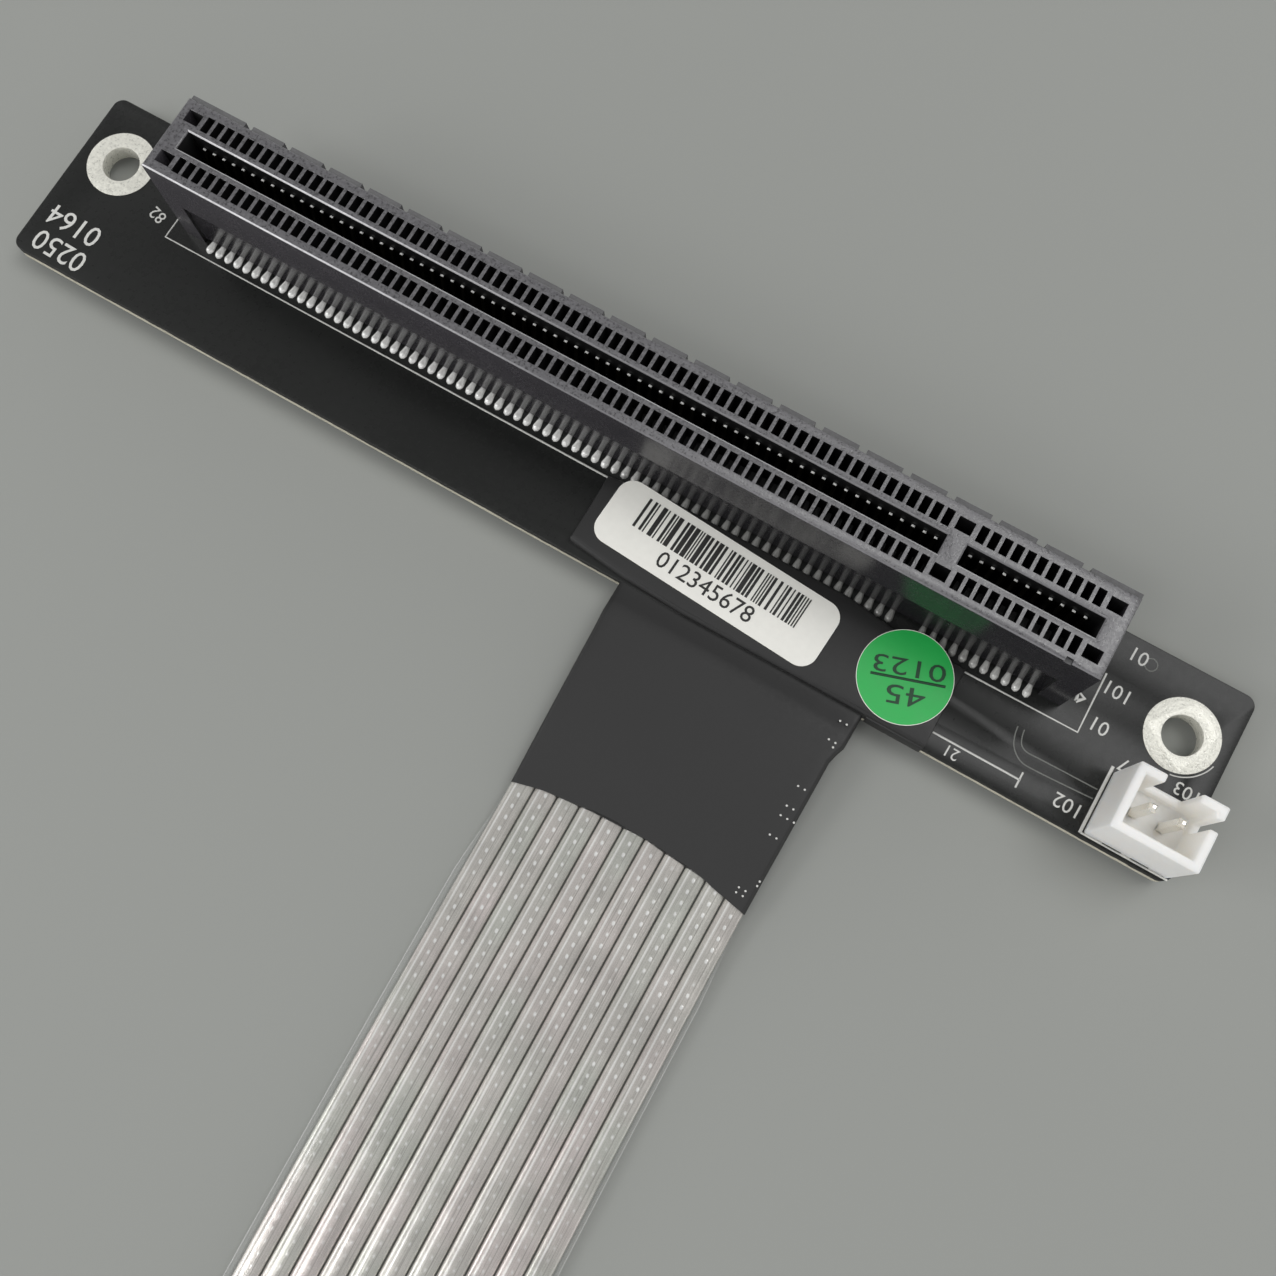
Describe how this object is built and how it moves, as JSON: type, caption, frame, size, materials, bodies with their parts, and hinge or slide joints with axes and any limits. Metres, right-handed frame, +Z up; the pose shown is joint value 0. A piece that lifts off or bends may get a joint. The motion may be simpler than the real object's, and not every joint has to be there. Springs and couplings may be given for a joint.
{
  "type": "graphics card extension cable",
  "caption": "Slot board with a long card-edge slot, a power header and two mounting holes, on a flat cable of shielded pairs that ends in a thin edge plug card.",
  "frame": {"origin": "middle of the slot board's outline, at the level of the table it lies on", "axes": "+X along the slot towards the power header, +Y away from the cable, +Z up out of the slot"},
  "size_m": [0.1164, 0.3088, 0.0141],
  "materials": {
    "board": "black solder mask on a glass-fibre board",
    "tinned_ring": "levelled tin",
    "slot_plastic": "fine-grained glass-filled moulding",
    "contact_metal": "tinned copper alloy",
    "solder": "bright solder",
    "header_plastic": "natural nylon",
    "black_tape": "satin tape",
    "label_paper": "satin label film",
    "green_paper": "satin sticker",
    "wire_metal": "silvered copper",
    "shield_foil": "wound foil under film",
    "clear_film": "clear film",
    "gold": "gold flash"
  },
  "bodies": {
    "root": {"slot_board": "board", "left_hole_plating": "tinned_ring", "right_hole_plating": "tinned_ring", "slot_housing": "slot_plastic", "contacts_row_a": "contact_metal", "contacts_row_b": "contact_metal", "solder_row_a": "solder", "solder_row_b": "solder", "power_header": "header_plastic", "header_pins": "contact_metal", "header_solder": "solder", "board_tape": "black_tape", "barcode_label": "label_paper", "inspection_sticker": "green_paper", "slot_board_wires": "wire_metal", "shielded_pair_01": "shield_foil", "shielded_pair_02": "shield_foil", "shielded_pair_03": "shield_foil", "shielded_pair_04": "shield_foil", "shielded_pair_05": "shield_foil", "shielded_pair_06": "shield_foil", "shielded_pair_07": "shield_foil", "shielded_pair_08": "shield_foil", "shielded_pair_09": "shield_foil", "shielded_pair_10": "shield_foil", "shielded_pair_11": "shield_foil", "upper_film": "clear_film", "lower_film": "clear_film", "cable_sleeve": "black_tape", "plug_sleeve": "black_tape", "plug_wires": "wire_metal", "plug_card": "board", "plug_fingers_top": "gold", "plug_fingers_bottom": "gold", "plug_tape": "black_tape"}
  },
  "joints": []
}
